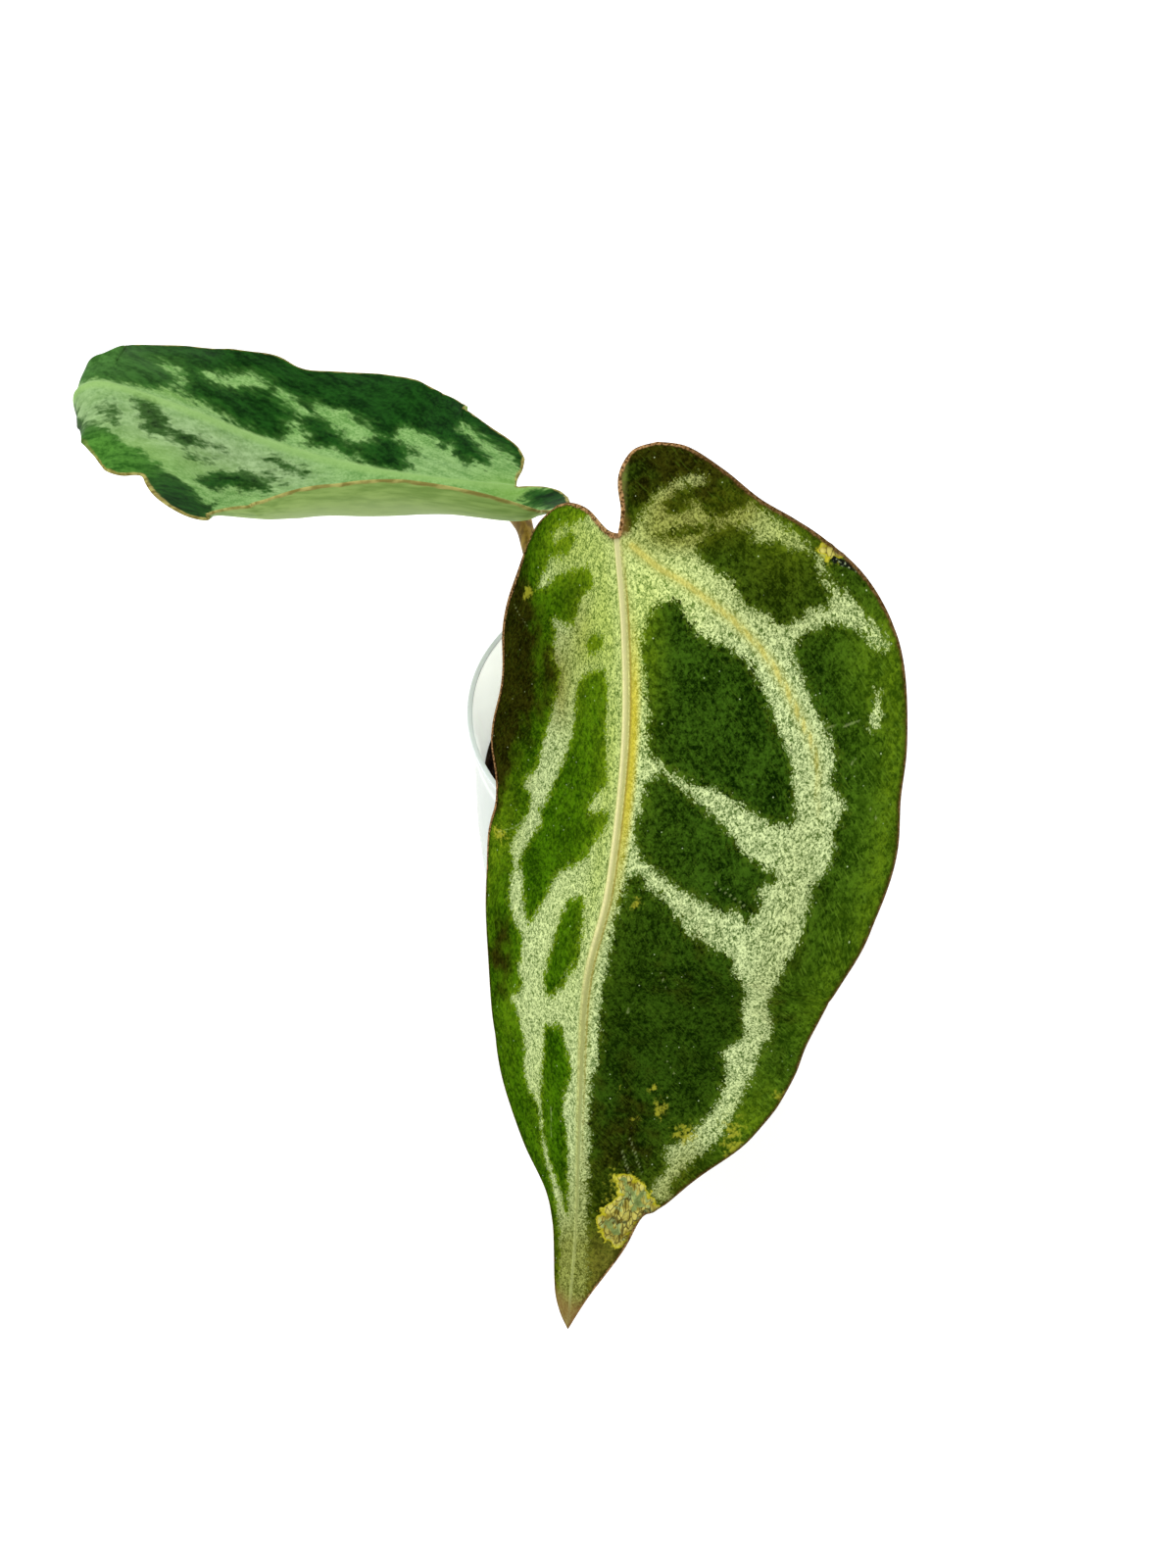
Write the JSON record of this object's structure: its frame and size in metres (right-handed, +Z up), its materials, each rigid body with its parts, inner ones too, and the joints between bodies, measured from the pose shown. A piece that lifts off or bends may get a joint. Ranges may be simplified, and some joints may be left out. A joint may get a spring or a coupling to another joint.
{
  "type": "potted silver blush anthurium",
  "caption": "House plant in a plain round pot: heart-shaped hanging leaves with ragged silver veins on stalks from a short rooted stem, to stand on a flat surface.",
  "frame": {"origin": "centre of the pot's flat foot, on the surface that it stands on", "axes": "+Z up along the pot's axis, the front leaf hangs towards -Y, the back leaf reaches towards -X"},
  "size_m": [0.2285, 0.2531, 0.2177],
  "materials": {
    "pot": "satin",
    "mix": "matte",
    "stem": "matte",
    "root": "matte",
    "petiole": "satin",
    "cataphyll": "matte",
    "bud": "satin",
    "front_blade": "matte",
    "back_blade": "satin"
  },
  "bodies": {
    "root": {"pot": "pot", "potting_mix": "mix", "stem": "stem", "root_1": "root", "root_2": "root", "root_3": "root", "root_4": "root", "bud": "bud", "petiole_front": "petiole", "cataphyll_front": "cataphyll", "blade_front": "front_blade", "petiole_back": "petiole", "cataphyll_back": "cataphyll", "blade_back": "back_blade"}
  },
  "joints": []
}
